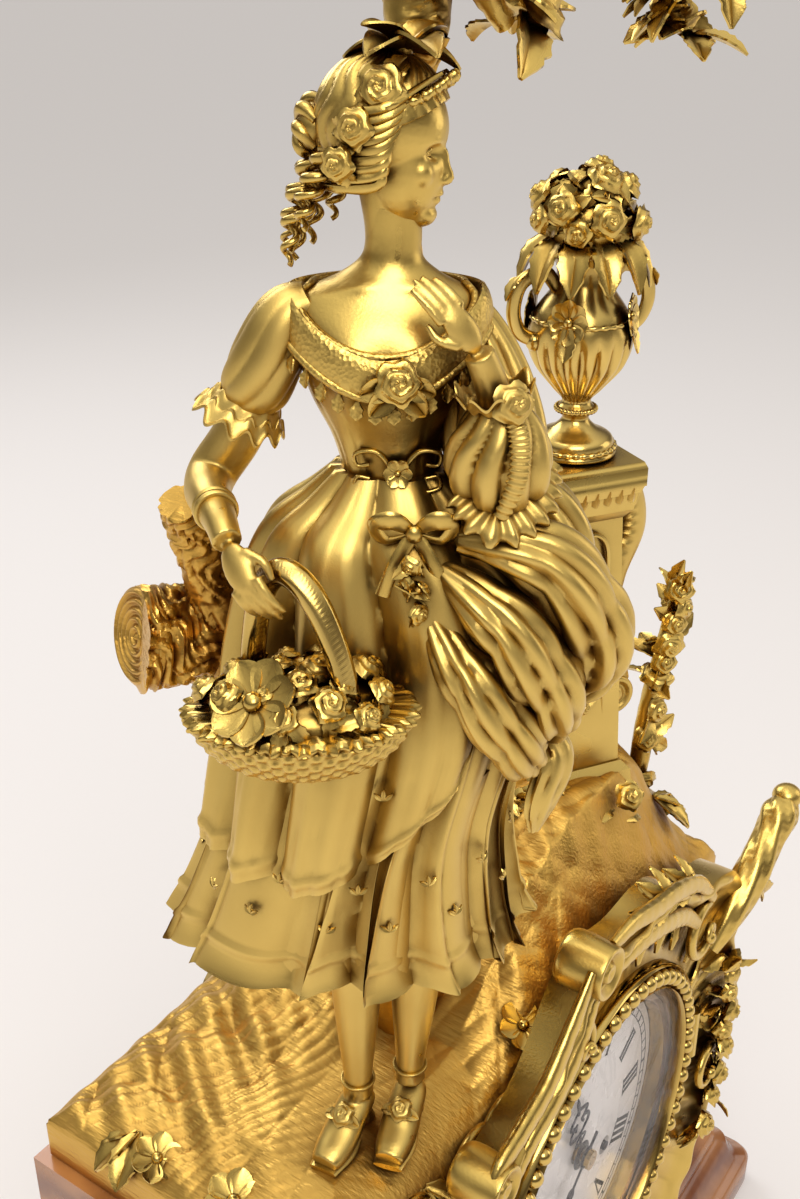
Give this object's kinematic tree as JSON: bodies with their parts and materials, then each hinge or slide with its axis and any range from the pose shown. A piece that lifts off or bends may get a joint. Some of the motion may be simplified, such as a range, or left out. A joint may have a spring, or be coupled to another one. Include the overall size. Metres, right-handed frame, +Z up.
{
  "type": "mantel clock",
  "caption": "Gilt bronze figural mantel clock with a lady, basket and urn over a round enamel dial, on a honey onyx case.",
  "frame": {"origin": "centre of the underside of the plinth", "axes": "+Z up, the dial faces -Y, +X to the right seen from the front"},
  "size_m": [0.224, 0.1258, 0.4014],
  "materials": {
    "gilt_bronze": "satin fire gilding, burnished on high points",
    "honey_onyx": null,
    "movement_brass": "brushed",
    "blued_steel": "blued and polished",
    "white_enamel": "glossy",
    "clear_glass": "clear"
  },
  "bodies": {
    "case": {"back_plate": "movement_brass", "bark_stub": "gilt_bronze", "basket_handle": "gilt_bronze", "bell": "movement_brass", "bell_stand": "movement_brass", "bezel_hinge": "gilt_bronze", "bodice": "gilt_bronze", "case_block": "honey_onyx", "dial_frame": "gilt_bronze", "dial_slip_ring": "gilt_bronze", "door_hinge": "movement_brass", "enamel_dial": "white_enamel", "flower_basket": "gilt_bronze", "flower_spray": "gilt_bronze", "front_plate": "movement_brass", "head": "gilt_bronze", "left_arm": "gilt_bronze", "left_case_strap": "movement_brass", "left_leg": "gilt_bronze", "pedestal": "gilt_bronze", "plate_pillar_1": "movement_brass", "plate_pillar_2": "movement_brass", "plate_pillar_3": "movement_brass", "plinth": "honey_onyx", "right_arm": "gilt_bronze", "right_case_strap": "movement_brass", "right_leg": "gilt_bronze", "rock_terrace": "gilt_bronze", "rose_bough": "gilt_bronze", "sawn_limb": "gilt_bronze", "scroll_horn": "gilt_bronze", "skirt": "gilt_bronze", "suspension_cock": "movement_brass", "tree_trunk": "gilt_bronze", "urn": "gilt_bronze", "urn_bouquet": "gilt_bronze", "urn_handle_left": "gilt_bronze", "urn_handle_right": "gilt_bronze"},
    "minute_hand": {"minute_hand": "blued_steel", "centre_arbor": "movement_brass", "hand_collet": "movement_brass"},
    "hour_hand": {"hour_hand": "blued_steel", "hour_pipe": "movement_brass"},
    "bezel": {"beaded_bezel": "gilt_bronze", "dial_glass": "clear_glass"},
    "rear_door": {"rear_door": "movement_brass", "door_knob": "movement_brass"},
    "pendulum": {"pendulum_rod": "blued_steel", "pendulum_bob": "movement_brass", "rating_nut": "movement_brass"},
    "crutch": {"pallet_crutch": "blued_steel"},
    "going_arbor": {"going_arbor": "blued_steel"},
    "strike_arbor": {"strike_arbor": "blued_steel"},
    "going_barrel": {"going_barrel": "movement_brass"},
    "strike_barrel": {"strike_barrel": "movement_brass"},
    "hammer": {"bell_hammer": "movement_brass"}
  },
  "joints": [
    {"name": "minute_hand_turn", "type": "hinge", "parent": "case", "child": "minute_hand", "pos_m": [0, -0.05, 0.105], "axis": [0, 1, 0], "continuous": true},
    {"name": "hour_hand_turn", "type": "hinge", "parent": "case", "child": "hour_hand", "pos_m": [0, -0.0485, 0.105], "axis": [0, 1, 0], "continuous": true},
    {"name": "bezel_swing", "type": "hinge", "parent": "case", "child": "bezel", "pos_m": [0.0559, -0.054, 0.105], "axis": [0, 0, 1], "range_deg": [0, 110]},
    {"name": "rear_door_swing", "type": "hinge", "parent": "case", "child": "rear_door", "pos_m": [-0.0461, 0.0488, 0.094], "axis": [0, 0, 1], "range_deg": [0, 115]},
    {"name": "pendulum_swing", "type": "hinge", "parent": "case", "child": "pendulum", "pos_m": [0, 0.0068, 0.135], "axis": [0, 1, 0], "range_deg": [-3.5, 3.5]},
    {"name": "crutch_swing", "type": "hinge", "parent": "case", "child": "crutch", "pos_m": [0, 0.0046, 0.128], "axis": [0, 1, 0], "range_deg": [-5, 5]},
    {"name": "going_arbor_turn", "type": "hinge", "parent": "case", "child": "going_arbor", "pos_m": [0.017, -0.03, 0.092], "axis": [0, 1, 0], "continuous": true},
    {"name": "strike_arbor_turn", "type": "hinge", "parent": "case", "child": "strike_arbor", "pos_m": [-0.017, -0.03, 0.092], "axis": [0, 1, 0], "continuous": true},
    {"name": "going_barrel_turn", "type": "hinge", "parent": "case", "child": "going_barrel", "pos_m": [0.017, -0.03, 0.092], "axis": [0, 1, 0], "continuous": true},
    {"name": "strike_barrel_turn", "type": "hinge", "parent": "case", "child": "strike_barrel", "pos_m": [-0.017, -0.03, 0.092], "axis": [0, 1, 0], "continuous": true},
    {"name": "hammer_swing", "type": "hinge", "parent": "case", "child": "hammer", "pos_m": [-0.03, 0.004, 0.123], "axis": [0, 1, 0], "range_deg": [0, 12], "stiffness_Nm_per_rad": 0.02}
  ],
  "couplings": [
    {"joint": "hour_hand_turn", "follows": "minute_hand_turn", "ratio": 0.083333},
    {"joint": "going_barrel_turn", "follows": "minute_hand_turn", "ratio": -0.125},
    {"joint": "crutch_swing", "follows": "pendulum_swing", "ratio": 1.41}
  ]
}
